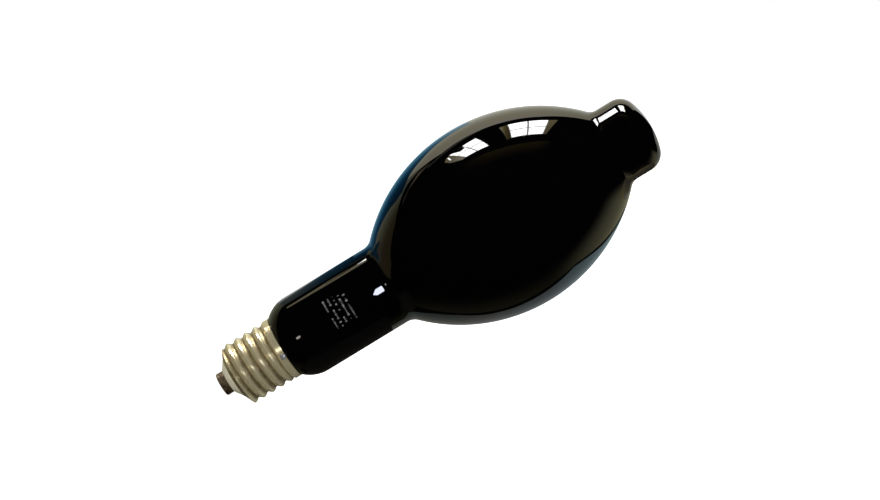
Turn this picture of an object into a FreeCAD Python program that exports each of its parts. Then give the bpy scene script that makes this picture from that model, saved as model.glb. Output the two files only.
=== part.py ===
import FreeCAD, Part
import math
import os
import Sketcher

# Ultraviolet discharge lamp: a black glass bulb on a metal screw cap.
# The lamp stands on its centre contact. Z runs up the lamp's axis from the
# contact's flat face, and lengths are in millimetres.

Vector = FreeCAD.Vector
Z_AXIS = Vector(0, 0, 1)
MATCH = 0.01

SIZES = {
    # Whole lamp
    "lamp_length": 300.5,
    # Sealed glass bulb, from the nipple down to the exhaust tip inside the cap
    "nipple_radius": 23.8,
    "nipple_length": 26.5,
    "nipple_dome_radius": 50.0,
    "nipple_corner_radius": 11.5,
    "nipple_fillet": 7.0,
    "belly_radius": 58.75,
    "belly_arc_radius": 105.0,
    "neck_fillet": 9.0,
    "neck_radius": 25.5,
    "shoulder_radius": 22.0,
    "throat_fillet": 1.5,
    "seal_clearance": 12.5,
    "seal_corner_radius": 5.0,
    "exhaust_radius": 3.0,
    "exhaust_length": 8.0,
    # Screw shell, with a round thread rolled into thin sheet
    "cap_height": 44.5,
    "sheet_thickness": 0.45,
    "thread_radius": 19.65,
    "thread_depth": 1.8,
    "thread_pitch": 6.35,
    "first_crest_height": 12.3,
    "crest_half_width": 0.5,
    "crest_lean": 15.0,
    "flank_top_half_width": 1.2,
    "flank_top_drop": 0.4,
    "flank_top_lean": 39.0,
    "flank_foot_half_width": 2.15,
    "flank_foot_rise": 0.35,
    "flank_foot_lean": 53.0,
    "mouth_height": 9.0,
    "mouth_cone_width": 4.35,
    "mouth_cone_height": 2.1,
    "lip_height": 0.5,
    "collar_height": 3.7,
    "collar_slope_height": 1.6,
    "notch_width": 1.4,
    "notch_depth": 3.2,
    # Glass insulator in the mouth of the shell
    "insulator_foot_radius": 7.9,
    "shank_clearance": 0.1,
    "insulator_top_height": 14.5,
    # Centre contact: a brass button with a hollow shank
    "contact_radius": 7.2,
    "contact_height": 5.0,
    "contact_edge_radius": 0.9,
    "shank_radius": 2.3,
    "shank_bore_radius": 1.2,
    "shank_rise": 0.8,
    "dish_radius": 3.2,
    "dish_depth": 1.6,
    # Solder in the contact's dish and on the rim
    "dish_solder_recess": 0.15,
    "dish_solder_height": 3.0,
    "rim_solder_angle": 284.0,
    "rim_solder_drop": 1.6,
    "rim_solder_radius": 2.2,
    "rim_solder_rise": 1.1,
    # Lead wires from the bulb's seal to the two solder joints
    "lead_radius": 0.35,
    "lead_offset": 8.0,
    "lead_bend_radius": 2.5,
    "rim_bend_radius": 0.8,
    "side_lead_drop": 3.5,
    "notch_clearance": 0.15,
    "centre_lead_depth": 1.3,
    # Cement ring between the bulb's neck and the shell
    "cement_thickness": 1.0,
    "cement_rise": 0.5,
    "cement_drop": 0.2,
    "cement_gap_angle": 4.0,
    # Clearance between pieces that seat in one another
    "seat_gap": 0.05,
}

# Places that several pieces share, as formulas on the sheet
ROOT = "(size.thread_radius - size.thread_depth)"
SHELL_BORE = f"({ROOT} - size.sheet_thickness)"
COLLAR_BORE = "(size.thread_radius - size.sheet_thickness)"
COLLAR_START = "(size.cap_height - size.collar_height)"
COLLAR_FOOT = f"({COLLAR_START} - size.collar_slope_height)"
MOUTH = f"({ROOT} - size.mouth_cone_width)"
MOUTH_SLOPE = "(size.mouth_cone_height / size.mouth_cone_width)"
LIP_TOP = "(size.mouth_height + size.lip_height)"
SHELL_OUTSIDE = "(size.thread_radius + size.thread_pitch)"
SHELL_ABOVE = "(size.cap_height + size.thread_pitch)"
SHELL_BELOW = "(size.mouth_height - size.thread_pitch)"
SHANK_TOP = "(size.insulator_top_height + size.shank_rise)"
SEAL_RADIUS = f"({SHELL_BORE} - size.cement_thickness)"
SEAL_HEIGHT = "(size.insulator_top_height + size.seal_clearance)"
LEAD_LANE = f"({SHELL_BORE} - size.cement_thickness / 2)"
SHOULDER_CENTRE = "(size.neck_radius - size.shoulder_radius)"
SHOULDER_HEIGHT = (
    "(size.cap_height + sqrt(size.shoulder_radius ^ 2"
    f" - ({COLLAR_BORE} - size.seat_gap - {SHOULDER_CENTRE}) ^ 2))"
)
BELLY_CENTRE = "(size.belly_radius - size.belly_arc_radius)"
BELLY_HEIGHT = (
    "(size.lamp_length - size.nipple_length"
    f" - sqrt(size.belly_arc_radius ^ 2 - (size.nipple_radius - {BELLY_CENTRE}) ^ 2))"
)

doc = FreeCAD.newDocument("uv_discharge_lamp")
sheet = doc.addObject("Spreadsheet::Sheet", "size")
for row, (alias, number) in enumerate(SIZES.items(), start=1):
    sheet.set(f"A{row}", alias)
    sheet.set(f"B{row}", str(number))
    sheet.setAlias(f"B{row}", alias)
doc.recompute()


def value(formula):
    """The number that a formula on the sheet's cells gives."""
    return float(sheet.evalExpression(formula))


def size(alias):
    """The number in one named cell."""
    return float(sheet.get(alias))


def turned(formula):
    """A place turned about the lamp's axis by the angle that a formula gives."""
    return FreeCAD.Placement(Vector(), FreeCAD.Rotation(Z_AXIS, value(formula)))


def add_body(label, turn="0"):
    """A body with its own label, turned about the lamp's axis."""
    body = doc.addObject("PartDesign::Body", label)
    body.Label = label
    body.Placement = turned(turn)
    return body


def add_sketch(body, name, role="XZ_Plane"):
    """A sketch on one of the body's own origin planes."""
    planes = {plane.Role: plane for plane in body.Origin.OriginFeatures}
    sketch = body.newObject("Sketcher::SketchObject", name)
    sketch.AttachmentSupport = [(planes[role], "")]
    sketch.MapMode = "FlatFace"
    return sketch


def bind(sketch, kind, geometry, formula):
    """Add a dimension to a sketch and bind it to a formula on the sheet."""
    number = sketch.addConstraint(Sketcher.Constraint(kind, *geometry, value(formula)))
    sketch.setExpression(f"Constraints[{number}]", formula)


def place(sketch, edge, end, across, up):
    """Hold a point of an edge at its distance from the axis and its height."""
    bind(sketch, "DistanceX", (-1, 1, edge, end), across)
    bind(sketch, "DistanceY", (-1, 1, edge, end), up)


def join(sketch, first, second):
    """Make one edge begin where another ends."""
    sketch.addConstraint(Sketcher.Constraint("Coincident", first, 2, second, 1))


def outline(body, name, corners):
    """A closed outline of straight edges through (radius, height) corners."""
    sketch = add_sketch(body, name)
    points = [Vector(value(radius), value(height), 0) for radius, height in corners]
    for start, finish in zip(points, points[1:] + points[:1]):
        sketch.addGeometry(Part.LineSegment(start, finish), False)
    for edge, (radius, height) in enumerate(corners):
        join(sketch, edge, (edge + 1) % len(corners))
        place(sketch, edge, 1, radius, height)
    return sketch


def revolve(body, name, sketch, kind="PartDesign::Revolution", angle="360"):
    """Turn a sketch about the lamp's axis, to add material or to cut it."""
    feature = body.newObject(kind, name)
    feature.Profile = sketch
    feature.ReferenceAxis = (sketch, ["V_Axis"])
    feature.Midplane = True
    feature.setExpression("Angle", angle)
    doc.recompute()
    return feature


def round_edge(body, base, name, alias, radius, height):
    """Round the circular edge that lies at a radius and a height."""
    for number, edge in enumerate(base.Shape.Edges, start=1):
        ends = [edge.valueAt(edge.FirstParameter), edge.valueAt(edge.LastParameter)]
        radii = [abs(math.hypot(end.x, end.y) - radius) for end in ends]
        heights = [abs(end.z - height) for end in ends]
        if max(radii + heights) < MATCH:
            break
    fillet = body.newObject("PartDesign::Fillet", name)
    fillet.Base = (base, [f"Edge{number}"])
    fillet.setExpression("Radius", f"size.{alias}")
    doc.recompute()
    return fillet


def arc(centre, radius, start, finish):
    """The arc that runs anticlockwise about a centre between two points."""
    circle = Part.Circle(centre, Z_AXIS, radius)
    angles = [math.atan2(point.y - centre.y, point.x - centre.x) for point in (start, finish)]
    return Part.ArcOfCircle(circle, *angles)


def reach(arc_radius, offset):
    """How far a circle's point lies from its centre along the lamp's axis."""
    return math.sqrt(arc_radius**2 - offset**2)


def glass_envelope():
    """The sealed black glass bulb: exhaust tip, seal, neck, belly and nipple."""
    body = add_body("glass_envelope")
    sketch = add_sketch(body, "bulb_profile")

    neck, nipple, seal = size("neck_radius"), size("nipple_radius"), value(SEAL_RADIUS)
    tube, seal_height = size("exhaust_radius"), value(SEAL_HEIGHT)
    belly_arc, shoulder_arc = size("belly_arc_radius"), size("shoulder_radius")
    dome_arc, top = size("nipple_dome_radius"), size("lamp_length")

    tip_centre = Vector(0, seal_height - size("exhaust_length") + tube, 0)
    shoulder_centre = Vector(value(SHOULDER_CENTRE), value(SHOULDER_HEIGHT), 0)
    belly_centre = Vector(value(BELLY_CENTRE), value(BELLY_HEIGHT), 0)
    dome_centre = Vector(0, top - dome_arc, 0)

    throat = shoulder_centre.y - reach(shoulder_arc, seal - shoulder_centre.x)
    neck_top = belly_centre.y - reach(belly_arc, neck - belly_centre.x)
    nipple_foot = top - size("nipple_length")
    nipple_top = dome_centre.y + reach(dome_arc, nipple)

    corners = [
        Vector(0, tip_centre.y - tube, 0),
        Vector(tube, tip_centre.y, 0),
        Vector(tube, seal_height, 0),
        Vector(seal, seal_height, 0),
        Vector(seal, throat, 0),
        Vector(neck, shoulder_centre.y, 0),
        Vector(neck, neck_top, 0),
        Vector(size("belly_radius"), belly_centre.y, 0),
        Vector(nipple, nipple_foot, 0),
        Vector(nipple, nipple_top, 0),
        Vector(0, top, 0),
    ]
    tip, seal_face, seal_wall, shoulder, lower_belly, upper_belly, dome, axis = 0, 2, 3, 4, 6, 7, 9, 10
    arcs = {
        tip: (tip_centre, tube),
        shoulder: (shoulder_centre, shoulder_arc),
        lower_belly: (belly_centre, belly_arc),
        upper_belly: (belly_centre, belly_arc),
        dome: (dome_centre, dome_arc),
    }
    for edge, start in enumerate(corners):
        finish = corners[(edge + 1) % len(corners)]
        if edge in arcs:
            sketch.addGeometry(arc(*arcs[edge], start, finish), False)
        else:
            sketch.addGeometry(Part.LineSegment(start, finish), False)
    for edge in range(len(corners)):
        join(sketch, edge, (edge + 1) % len(corners))

    tip_height = f"{SEAL_HEIGHT} - size.exhaust_length + size.exhaust_radius"
    place(sketch, tip, 3, "0", tip_height)
    bind(sketch, "Radius", (tip,), "size.exhaust_radius")
    bind(sketch, "DistanceX", (-1, 1, tip, 1), "0")
    bind(sketch, "DistanceY", (-1, 1, tip, 2), tip_height)
    place(sketch, seal_face, 1, "size.exhaust_radius", SEAL_HEIGHT)
    place(sketch, seal_wall, 1, SEAL_RADIUS, SEAL_HEIGHT)
    bind(sketch, "DistanceX", (-1, 1, shoulder, 1), SEAL_RADIUS)
    place(sketch, shoulder, 3, SHOULDER_CENTRE, SHOULDER_HEIGHT)
    bind(sketch, "Radius", (shoulder,), "size.shoulder_radius")
    bind(sketch, "DistanceY", (-1, 1, shoulder, 2), SHOULDER_HEIGHT)
    for belly in (lower_belly, upper_belly):
        place(sketch, belly, 3, BELLY_CENTRE, BELLY_HEIGHT)
    bind(sketch, "Radius", (lower_belly,), "size.belly_arc_radius")
    bind(sketch, "DistanceX", (-1, 1, lower_belly, 1), "size.neck_radius")
    bind(sketch, "DistanceY", (-1, 1, lower_belly, 2), BELLY_HEIGHT)
    bind(sketch, "DistanceX", (-1, 1, upper_belly, 2), "size.nipple_radius")
    bind(sketch, "DistanceX", (-1, 1, dome, 1), "size.nipple_radius")
    bind(sketch, "DistanceX", (-1, 1, dome, 3), "0")
    bind(sketch, "Radius", (dome,), "size.nipple_dome_radius")
    place(sketch, axis, 1, "0", "size.lamp_length")

    glass = revolve(body, "bulb", sketch)
    glass = round_edge(body, glass, "seal_corner", "seal_corner_radius", seal, seal_height)
    glass = round_edge(body, glass, "throat", "throat_fillet", seal, throat)
    glass = round_edge(body, glass, "neck_to_belly", "neck_fillet", neck, neck_top)
    glass = round_edge(body, glass, "belly_to_nipple", "nipple_fillet", nipple, nipple_foot)
    round_edge(body, glass, "nipple_corner", "nipple_corner_radius", nipple, nipple_top)
    return body


def shell_form(label, blank, mouth_height, inset="0"):
    """The threaded form of the shell's outer side, or of its inner side one inset inwards.

    The blank is turned, a round ridge is wound up its side, and what the ridge
    leaves below the mouth's cone is turned away.
    """
    body = add_body(label)
    revolve(body, f"{label}_blank", outline(body, f"{label}_profile", blank))

    crest = "(size.first_crest_height - size.thread_pitch)"
    sunk_half_width = "(size.flank_foot_half_width + size.flank_foot_rise)"
    half_ridge = [
        (f"{ROOT} - size.sheet_thickness / 2", sunk_half_width, "size.flank_foot_lean"),
        (f"{ROOT} + size.flank_foot_rise", "size.flank_foot_half_width", "size.flank_foot_lean"),
        ("size.thread_radius - size.flank_top_drop", "size.flank_top_half_width", "size.flank_top_lean"),
        ("size.thread_radius", "size.crest_half_width", "size.crest_lean"),
    ]
    lower, upper = [], []
    for radius, half_width, lean in half_ridge:
        drawn_in = f"({radius} - {inset} * cos({lean}))"
        narrowed = f"({half_width} - {inset} * sin({lean}))"
        lower.append((drawn_in, f"{crest} - {narrowed}"))
        upper.append((drawn_in, f"{crest} + {narrowed}"))
    ridge_sketch = outline(body, f"{label}_ridge", lower + upper[::-1])
    thread = body.newObject("PartDesign::AdditiveHelix", f"{label}_thread")
    thread.Profile = ridge_sketch
    thread.ReferenceAxis = (ridge_sketch, ["V_Axis"])
    thread.Mode = "pitch-height-angle"
    thread.setExpression("Pitch", "size.thread_pitch")
    thread.setExpression("Height", f"size.cap_height - {sunk_half_width} - {crest}")
    doc.recompute()

    mouth = [
        (MOUTH, mouth_height),
        (MOUTH, SHELL_BELOW),
        (SHELL_OUTSIDE, SHELL_BELOW),
        (SHELL_OUTSIDE, f"{mouth_height} + ({SHELL_OUTSIDE} - {MOUTH}) * {MOUTH_SLOPE}"),
    ]
    revolve(body, f"{label}_mouth", outline(body, f"{label}_mouth_profile", mouth), "PartDesign::Groove")
    return body


def screw_shell():
    """The shell of thin sheet: its outer form less its inner one, with the solder notch."""
    outside = [
        ("0", "size.mouth_height"),
        (MOUTH, "size.mouth_height"),
        (ROOT, "size.mouth_height + size.mouth_cone_height"),
        (ROOT, COLLAR_FOOT),
        ("size.thread_radius", COLLAR_START),
        ("size.thread_radius", "size.cap_height"),
        ("0", "size.cap_height"),
    ]
    inside = [
        ("0", SHELL_BELOW),
        (MOUTH, SHELL_BELOW),
        (MOUTH, LIP_TOP),
        (SHELL_BORE, f"{LIP_TOP} + ({SHELL_BORE} - {MOUTH}) * {MOUTH_SLOPE}"),
        (SHELL_BORE, COLLAR_FOOT),
        (COLLAR_BORE, COLLAR_START),
        (COLLAR_BORE, SHELL_ABOVE),
        ("0", SHELL_ABOVE),
    ]
    body = shell_form("screw_shell", outside, "size.mouth_height")
    hollow = body.newObject("PartDesign::Boolean", "hollow")
    hollow.Type = "Cut"
    hollow.addObjects([shell_form("shell_inside", inside, LIP_TOP, "size.sheet_thickness")])
    doc.recompute()

    notch = body.newObject("PartDesign::SubtractiveBox", "solder_notch")
    notch.setExpression("Length", SHELL_OUTSIDE)
    notch.setExpression("Width", "size.notch_width")
    notch.setExpression("Height", "size.notch_depth + size.thread_pitch")
    half_width = value("size.notch_width / 2")
    corner = Vector(0, -half_width, value("size.cap_height - size.notch_depth"))
    notch.Placement = turned("size.rim_solder_angle") * FreeCAD.Placement(corner, FreeCAD.Rotation())
    doc.recompute()
    return body


def cap_insulator():
    """The glass insulator, set in the shell's mouth around the contact's shank."""
    body = add_body("cap_insulator")
    hole = "(size.shank_radius + size.shank_clearance)"
    lip = f"({MOUTH} - size.seat_gap)"
    wall = f"({SHELL_BORE} - size.seat_gap)"
    seat = f"({LIP_TOP} + size.seat_gap)"
    section = [
        (hole, "size.contact_height"),
        ("size.insulator_foot_radius", "size.contact_height"),
        (lip, "size.mouth_height"),
        (lip, seat),
        (wall, f"{seat} + ({wall} - {lip}) * {MOUTH_SLOPE}"),
        (wall, "size.insulator_top_height"),
        (hole, "size.insulator_top_height"),
    ]
    revolve(body, "insulator", outline(body, "insulator_profile", section))
    return body


def centre_contact():
    """The brass contact button, dished for solder, with its hollow shank."""
    body = add_body("centre_contact")
    section = [
        ("size.dish_radius", "0"),
        ("size.contact_radius", "0"),
        ("size.contact_radius", "size.contact_height"),
        ("size.shank_radius", "size.contact_height"),
        ("size.shank_radius", SHANK_TOP),
        ("size.shank_bore_radius", SHANK_TOP),
        ("size.shank_bore_radius", "size.dish_depth"),
    ]
    button = revolve(body, "button", outline(body, "button_profile", section))
    round_edge(body, button, "button_edge", "contact_edge_radius", size("contact_radius"), 0.0)
    return body


def contact_solder():
    """The solder that fills the contact's dish around the end of the centre lead."""
    body = add_body("contact_solder")
    dish_slope = "((size.dish_radius - size.shank_bore_radius) / size.dish_depth)"
    lead_hole = "(size.lead_radius + size.seat_gap)"
    lead_end = "(size.centre_lead_depth - size.seat_gap)"
    plug = "(size.shank_bore_radius - size.seat_gap)"
    section = [
        ("0", "size.dish_solder_recess"),
        (
            f"size.dish_radius - size.seat_gap - size.dish_solder_recess * {dish_slope}",
            "size.dish_solder_recess",
        ),
        (plug, "size.dish_depth"),
        (plug, "size.dish_solder_height"),
        (lead_hole, "size.dish_solder_height"),
        (lead_hole, lead_end),
        ("0", lead_end),
    ]
    revolve(body, "solder", outline(body, "solder_profile", section))
    return body


def rim_solder():
    """The blob that joins the side lead to the rim, shaped to the collar behind it."""
    body = add_body("rim_solder", "size.rim_solder_angle")
    blob = body.newObject("PartDesign::AdditiveSphere", "blob")
    blob.setExpression("Radius", "size.rim_solder_radius")
    blob.setExpression(
        "Placement.Base.x", "size.thread_radius + size.rim_solder_rise - size.rim_solder_radius"
    )
    blob.setExpression("Placement.Base.z", "size.cap_height - size.rim_solder_drop")
    collar = body.newObject("PartDesign::SubtractiveCylinder", "collar_face")
    collar.Refine = False
    collar.setExpression("Radius", "size.thread_radius + size.seat_gap")
    collar.setExpression("Height", SHELL_ABOVE)
    doc.recompute()
    return body


def bent_wire(label, turn, runs, bends):
    """A lead wire that starts on the bulb's seal and turns through right angles.

    Each straight run is a pair of (across, up) ends. Each bend between two runs
    is the (across, up) centre of its quarter turn and the radius of the turn.
    """
    body = add_body(label, turn)
    section = add_sketch(body, f"{label}_section", "XY_Plane")
    section.setExpression("AttachmentOffset.Base.z", SEAL_HEIGHT)
    centre = Vector(size("lead_offset"), 0, 0)
    section.addGeometry(Part.Circle(centre, Z_AXIS, size("lead_radius")), False)
    place(section, 0, 3, "size.lead_offset", "0")
    bind(section, "Radius", (0,), "size.lead_radius")

    route = add_sketch(body, f"{label}_route")
    ends = [[Vector(value(across), value(up), 0) for across, up in run] for run in runs]
    for number, (start, finish) in enumerate(ends):
        route.addGeometry(Part.LineSegment(start, finish), False)
        if number == len(bends):
            break
        across, up, radius = bends[number]
        centre = Vector(value(across), value(up), 0)
        turn_ends = [finish, ends[number + 1][0]]
        if is_clockwise(centre, *turn_ends):
            turn_ends.reverse()
        route.addGeometry(arc(centre, value(radius), *turn_ends), False)
    for number, (start, finish) in enumerate(runs):
        place(route, 2 * number, 1, *start)
        place(route, 2 * number, 2, *finish)
    for number, (across, up, radius) in enumerate(bends):
        line, quarter, following = 2 * number, 2 * number + 1, 2 * number + 2
        centre = Vector(value(across), value(up), 0)
        clockwise = is_clockwise(centre, ends[number][1], ends[number + 1][0])
        first, last = (2, 1) if clockwise else (1, 2)
        route.addConstraint(Sketcher.Constraint("Coincident", line, 2, quarter, first))
        route.addConstraint(Sketcher.Constraint("Coincident", quarter, last, following, 1))
        bind(route, "Radius", (quarter,), radius)

    wire = body.newObject("PartDesign::AdditivePipe", f"{label}_sweep")
    wire.Profile = section
    wire.Spine = route
    doc.recompute()
    return body


def is_clockwise(centre, start, finish):
    """Whether the short way round a centre between two points is clockwise."""
    return (start - centre).cross(finish - centre).z < 0


def side_lead_wire():
    """The lead from the seal, up beside the neck and out through the rim's notch."""
    low = f"({SEAL_HEIGHT} - size.side_lead_drop)"
    bend = "size.lead_bend_radius"
    rim_bend = "size.rim_bend_radius"
    high = "(size.cap_height - size.notch_depth + size.lead_radius + size.notch_clearance)"
    runs = [
        (("size.lead_offset", SEAL_HEIGHT), ("size.lead_offset", f"{low} + {bend}")),
        ((f"size.lead_offset + {bend}", low), (f"{LEAD_LANE} - {bend}", low)),
        ((LEAD_LANE, f"{low} + {bend}"), (LEAD_LANE, f"{high} - {rim_bend}")),
        ((f"{LEAD_LANE} + {rim_bend}", high), ("size.thread_radius - 2 * size.seat_gap", high)),
    ]
    bends = [
        (f"size.lead_offset + {bend}", f"{low} + {bend}", bend),
        (f"{LEAD_LANE} - {bend}", f"{low} + {bend}", bend),
        (f"{LEAD_LANE} + {rim_bend}", f"{high} - {rim_bend}", rim_bend),
    ]
    return bent_wire("side_lead_wire", "size.rim_solder_angle", runs, bends)


def centre_lead_wire():
    """The lead from the seal, under the exhaust tip and down the contact's shank."""
    low = f"(({SHANK_TOP} + {SEAL_HEIGHT} - size.exhaust_length) / 2)"
    bend = "size.lead_bend_radius"
    runs = [
        (("size.lead_offset", SEAL_HEIGHT), ("size.lead_offset", f"{low} + {bend}")),
        ((f"size.lead_offset - {bend}", low), (bend, low)),
        (("0", f"{low} - {bend}"), ("0", "size.centre_lead_depth")),
    ]
    bends = [
        (f"size.lead_offset - {bend}", f"{low} + {bend}", bend),
        (bend, f"{low} - {bend}", bend),
    ]
    return bent_wire("centre_lead_wire", "size.rim_solder_angle + 180", runs, bends)


def capping_cement():
    """The cement ring between neck and shell, open where the side lead passes."""
    body = add_body("capping_cement", "size.rim_solder_angle + 180")
    inner = f"{SEAL_RADIUS} + size.seat_gap"
    outer = f"{SHELL_BORE} - size.seat_gap"
    foot = f"{SEAL_HEIGHT} + size.cement_rise"
    top = f"{COLLAR_FOOT} - size.cement_drop"
    section = [
        (inner, foot),
        (outer, foot),
        (outer, top),
        (inner, top),
    ]
    sketch = outline(body, "cement_profile", section)
    revolve(body, "cement", sketch, angle="360 - size.cement_gap_angle")
    return body


pieces = [
    glass_envelope(),
    screw_shell(),
    cap_insulator(),
    centre_contact(),
    contact_solder(),
    rim_solder(),
    side_lead_wire(),
    centre_lead_wire(),
    capping_cement(),
]
doc.recompute()

for item in doc.Objects:
    if {"Invalid", "Error"} & set(item.State):
        raise RuntimeError(f"{item.Name} could not be built: {item.State}")
for piece in pieces:
    if piece.Shape.isNull() or not piece.Shape.isValid() or len(piece.Shape.Solids) != 1:
        raise RuntimeError(f"{piece.Label} is not one valid solid")

os.makedirs("parts", exist_ok=True)
for piece in pieces:
    piece.Shape.exportStep(os.path.join("parts", f"{piece.Label}.step"))
    print(f"{piece.Label}: {piece.Shape.Volume:.1f} cubic mm")
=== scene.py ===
"""The finished ultraviolet discharge lamp: black glass bulb, rolled screw shell, contact and solder."""

import logging
import math
from dataclasses import dataclass
from enum import Enum

import bmesh
import bpy
from mathutils import Matrix, Vector, noise


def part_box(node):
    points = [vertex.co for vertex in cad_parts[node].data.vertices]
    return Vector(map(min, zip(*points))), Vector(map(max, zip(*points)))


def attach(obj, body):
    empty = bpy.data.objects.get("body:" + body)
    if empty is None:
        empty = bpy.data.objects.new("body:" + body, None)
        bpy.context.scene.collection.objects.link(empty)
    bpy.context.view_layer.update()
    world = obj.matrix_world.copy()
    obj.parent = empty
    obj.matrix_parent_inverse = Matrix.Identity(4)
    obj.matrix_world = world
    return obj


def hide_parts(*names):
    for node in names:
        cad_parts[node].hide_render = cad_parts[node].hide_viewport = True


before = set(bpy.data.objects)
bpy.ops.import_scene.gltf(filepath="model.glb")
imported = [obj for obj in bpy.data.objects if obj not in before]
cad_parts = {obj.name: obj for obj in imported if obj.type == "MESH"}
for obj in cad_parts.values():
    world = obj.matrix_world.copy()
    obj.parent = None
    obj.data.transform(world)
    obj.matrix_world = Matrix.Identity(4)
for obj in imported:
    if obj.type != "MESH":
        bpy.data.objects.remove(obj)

LOG = logging.getLogger("uv_discharge_lamp")
MM = 0.001
BODY = "root"

Point = tuple[float, float]
Place = tuple[float, float, float]
Sockets = dict[str, bpy.types.NodeSocket]


class Slot(Enum):
    """The record's material slots of the pieces that the scene's own pieces replace."""

    GLASS = "black_ultraviolet_pass_glass"
    SHELL = "nickel_plated_brass"
    INSULATOR = "base_glass"
    CONTACT = "contact_brass"
    SOLDER = "solder"


def linear(hex_colour: str) -> tuple[float, float, float, float]:
    """Turn an sRGB hex colour into linear light.

    Args:
        hex_colour: Six hex digits, such as "C0B8A0".

    Returns:
        Red, green and blue in linear light, and an alpha of 1.
    """
    channels = [int(hex_colour[at : at + 2], 16) / 255 for at in (0, 2, 4)]
    light = [c / 12.92 if c <= 0.04045 else ((c + 0.055) / 1.055) ** 2.4 for c in channels]
    return (*light, 1.0)


def add_node(
    tree: bpy.types.NodeTree, kind: str, inputs: dict | None = None, **settings: object
) -> bpy.types.Node:
    """Add a node with its settings and its inputs.

    Args:
        tree: The node tree that gets the node.
        kind: The node's type name.
        inputs: Each input's name or number, with the socket that feeds it or its value.
        settings: Attributes of the node itself.

    Returns:
        The new node.
    """
    node = tree.nodes.new(kind)
    for name, setting in settings.items():
        setattr(node, name, setting)
    for key, source in (inputs or {}).items():
        if isinstance(source, bpy.types.NodeSocket):
            tree.links.new(source, node.inputs[key])
        else:
            node.inputs[key].default_value = source
    return node


def arc_points(centre: Point, radius: float, start: float, finish: float, step: float) -> list[Point]:
    """Points along an arc.

    Args:
        centre: The arc's centre, as distance from the axis and height.
        radius: Its radius.
        start: Its first angle in degrees, from the outward direction towards +Z.
        finish: Its last angle.
        step: The most degrees from one point to the next.

    Returns:
        The points, both ends included.
    """
    count = max(1, math.ceil(abs(finish - start) / step))
    angles = [math.radians(start + (finish - start) * at / count) for at in range(count + 1)]
    return [(centre[0] + radius * math.cos(a), centre[1] + radius * math.sin(a)) for a in angles]


def bearing(start: Point, finish: Point) -> float:
    """The angle in degrees, 0 to 360, from one point of an outline to another."""
    return math.degrees(math.atan2(finish[1] - start[1], finish[0] - start[0])) % 360


def rounded(corners: list[tuple[float, float, float]], step: float = 12.0) -> list[Point]:
    """A closed outline with its corners rounded.

    Args:
        corners: Each corner's distance from the axis, its height and the radius of its rounding.
        step: The most degrees from one point of a rounding to the next.

    Returns:
        The outline's points as (distance from the axis, height).
    """
    points: list[Point] = []
    for at, (across, up, radius) in enumerate(corners):
        corner = Vector((across, up))
        before = (Vector(corners[at - 1][:2]) - corner).normalized()
        after = (Vector(corners[(at + 1) % len(corners)][:2]) - corner).normalized()
        half = before.angle(after) / 2
        centre = corner + (before + after).normalized() * (radius / math.sin(half))
        start = corner + before * (radius / math.tan(half))
        finish = corner + after * (radius / math.tan(half))
        count = max(1, math.ceil((180 - 2 * math.degrees(half)) / step)) if radius else 0
        for number in range(count + 1):
            share = number / max(count, 1)
            spoke = start.lerp(finish, share) - centre
            points.append(tuple(centre + spoke.normalized() * radius))
    return points


def lathe(outline: list[Point], segments: int, closed: bool) -> bmesh.types.BMesh:
    """Turn an outline in millimetres about the lamp's axis.

    Args:
        outline: Points as (distance from the axis, height). An open outline starts and ends on the axis.
        segments: Faces round the axis.
        closed: Whether the outline is a ring that closes on itself.

    Returns:
        The turned mesh, in metres.
    """
    shape = bmesh.new()
    turns = [2 * math.pi * at / segments for at in range(segments)]
    rings = []
    for across, up in outline:
        if across < 1e-6:
            rings.append([shape.verts.new((0, 0, up * MM))] * segments)
            continue
        places = [(across * MM * math.cos(turn), across * MM * math.sin(turn), up * MM) for turn in turns]
        rings.append([shape.verts.new(place) for place in places])
    following = rings[1:] + rings[:1] if closed else rings[1:]
    for lower, upper in zip(rings, following):
        for at in range(segments):
            beside = (at + 1) % segments
            corners = [lower[at], lower[beside], upper[beside], upper[at]]
            shape.faces.new(list(dict.fromkeys(corners)))
    return shape


def finish_mesh(name: str, shape: bmesh.types.BMesh, sharp: float = 40.0) -> bpy.types.Object:
    """Turn a mesh into a smooth shaded object at the origin.

    Args:
        name: The new object's name.
        shape: The mesh, which is freed.
        sharp: Edges that turn by more than this many degrees stay sharp.

    Returns:
        The new object, linked to the scene.
    """
    bmesh.ops.recalc_face_normals(shape, faces=shape.faces)
    for face in shape.faces:
        face.smooth = True
    for edge in shape.edges:
        edge.smooth = edge.calc_face_angle(0.0) < math.radians(sharp)
    mesh = bpy.data.meshes.new(name)
    shape.to_mesh(mesh)
    shape.free()
    piece = bpy.data.objects.new(name, mesh)
    bpy.context.scene.collection.objects.link(piece)
    return piece


def settle(piece: bpy.types.Object, material: bpy.types.Material, slot: Slot, *nodes: str) -> None:
    """Give a piece its material, its body and the nodes that it stands for.

    Args:
        piece: The finished piece.
        material: Its material.
        slot: The record's slot for its finish. It is not used.
        nodes: The construction's nodes that it replaces.
    """
    piece.data.materials.clear()
    piece.data.materials.append(material)
    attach(piece, BODY)
    if nodes:
        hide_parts(*nodes)
    LOG.info("%s: %d faces, %s", piece.name, len(piece.data.polygons), material.name)


@dataclass(frozen=True)
class Finish:
    """A surface: its material's name, its colour and how it reflects."""

    name: str
    colour: str
    roughness: float
    metallic: float = 0.0

    def build(self) -> bpy.types.Material:
        """Make the material, with the pattern that the finish adds.

        Returns:
            The new material.
        """
        material = bpy.data.materials.new(self.name)
        material.use_nodes = True
        tree = material.node_tree
        shader = tree.nodes["Principled BSDF"]
        shader.inputs["Base Color"].default_value = linear(self.colour)
        shader.inputs["Roughness"].default_value = self.roughness
        shader.inputs["Metallic"].default_value = self.metallic
        self.paint(tree, shader)
        return material

    def paint(self, tree: bpy.types.NodeTree, shader: bpy.types.Node) -> None:
        """Add the finish's own nodes. A plain finish has none."""


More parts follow.
